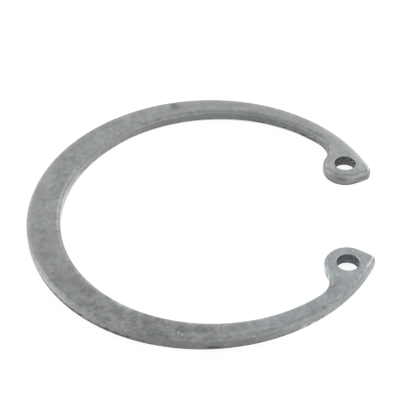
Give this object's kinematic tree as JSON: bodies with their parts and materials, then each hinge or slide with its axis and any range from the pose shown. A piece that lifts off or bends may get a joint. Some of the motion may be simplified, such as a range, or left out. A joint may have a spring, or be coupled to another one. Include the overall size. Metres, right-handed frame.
{
  "type": "circlip retaining ring",
  "caption": "Internal circlip: a flat, tapered open ring of blanked spring steel with tear-drop lugs and plier holes, sprung into a groove in a bore to keep a bearing in place.",
  "frame": {"origin": "on the ring's axis at half its thickness", "axes": "+Z along the ring's axis towards the face with the rolled edge, +X from the axis through the middle of the gap"},
  "size_m": [0.0393, 0.0408, 0.0016],
  "materials": {
    "spring_steel": "satin grey phosphated and oiled spring steel, tumbled, with cloudy mottling and a brighter rolled edge"
  },
  "bodies": {
    "root": {"ring": "spring_steel"}
  },
  "joints": []
}
